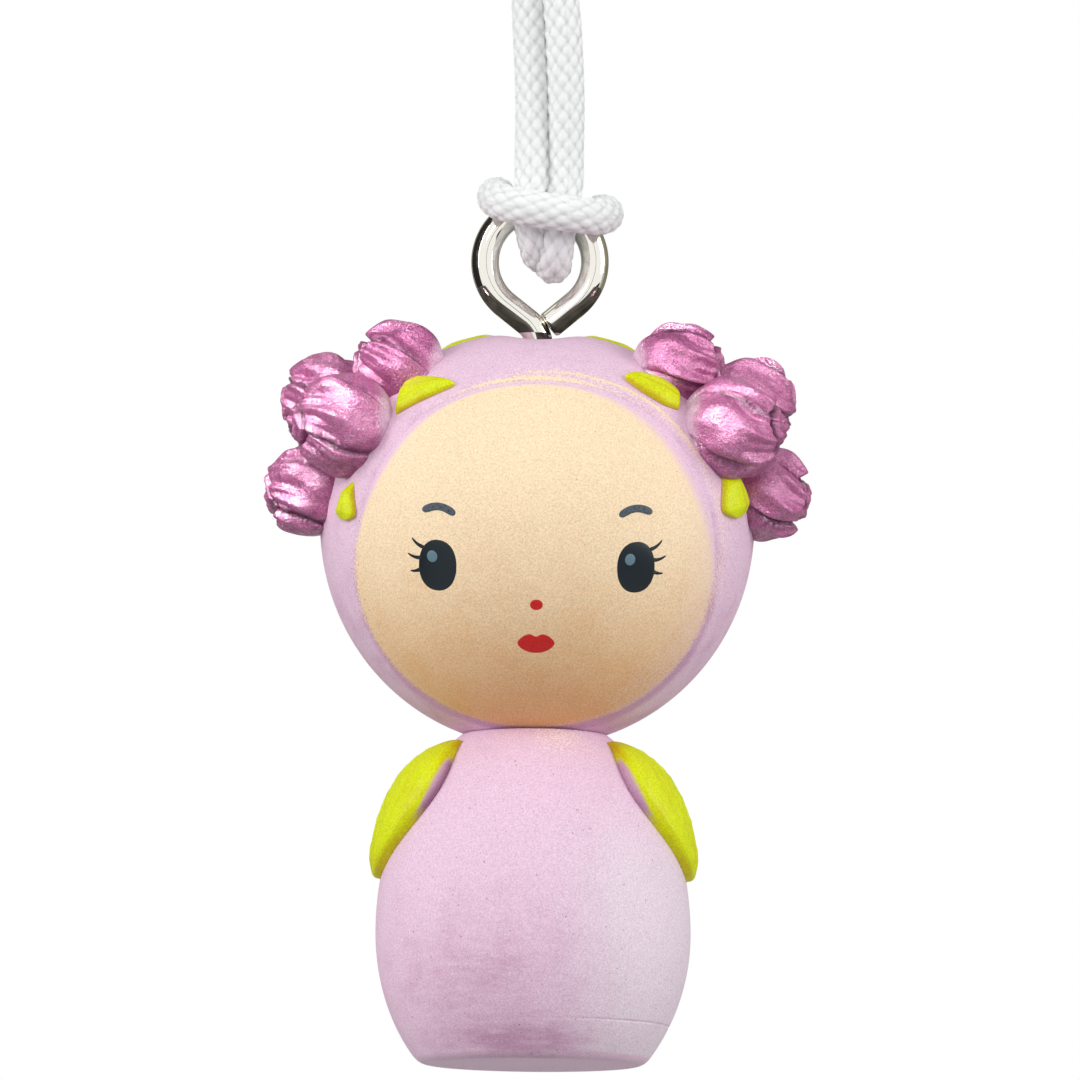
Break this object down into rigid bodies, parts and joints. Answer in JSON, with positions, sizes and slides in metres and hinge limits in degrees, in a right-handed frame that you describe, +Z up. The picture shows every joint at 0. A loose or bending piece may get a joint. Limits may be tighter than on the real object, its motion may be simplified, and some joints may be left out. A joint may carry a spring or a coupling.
{
  "type": "keychain doll",
  "caption": "Small painted doll with an egg-shaped body, round head, leaf sleeves and flower clusters, hung from a screw eye on a hitched braided cord loop.",
  "frame": {"origin": "the hang point: the inner top of the cord loop", "axes": "+Z up along the cord, the face looks along -Y, +X to the right of someone who looks at the face"},
  "size_m": [0.0327, 0.025, 0.0829],
  "materials": {
    "lilac_paint": "matt lilac paint on cast resin",
    "cream_paint": "matt cream paint on cast resin",
    "lime_paint": "matt lime paint on cast resin",
    "pearl_paint": "pearl pink-purple paint on cast resin",
    "nickel": "bright nickel plate on steel wire",
    "white_cord": "white braided polyester cord",
    "dowel_wood": "plain birch dowel"
  },
  "bodies": {
    "cord": {"cord_loop": "white_cord"},
    "hitch": {"cord_hitch": "white_cord"},
    "doll": {"body": "lilac_paint", "neck_dowel": "dowel_wood", "head": "lilac_paint", "face": "cream_paint", "sleeve_left": "lime_paint", "sleeve_right": "lime_paint", "blossom_left_front": "pearl_paint", "blossom_left_low": "pearl_paint", "blossom_left_top": "pearl_paint", "blossom_left_back": "pearl_paint", "blossom_right_front": "pearl_paint", "blossom_right_low": "pearl_paint", "blossom_right_top": "pearl_paint", "blossom_right_back": "pearl_paint", "hair_leaf_left_upper": "lime_paint", "hair_leaf_left_low": "lime_paint", "hair_leaf_left_crown": "lime_paint", "hair_leaf_right_upper": "lime_paint", "hair_leaf_right_low": "lime_paint", "hair_leaf_right_crown": "lime_paint", "screw_eye": "nickel"}
  },
  "joints": [
    {"name": "cord_swing", "type": "hinge", "parent": "cord", "child": "hitch", "pos_m": [0, 0, -0.0267], "axis": [1, 0, 0], "range_deg": [-40, 40]},
    {"name": "eye_sway", "type": "hinge", "parent": "hitch", "child": "doll", "pos_m": [0, 0.00213, -0.0316], "axis": [0, 1, 0], "range_deg": [-45, 45]}
  ]
}
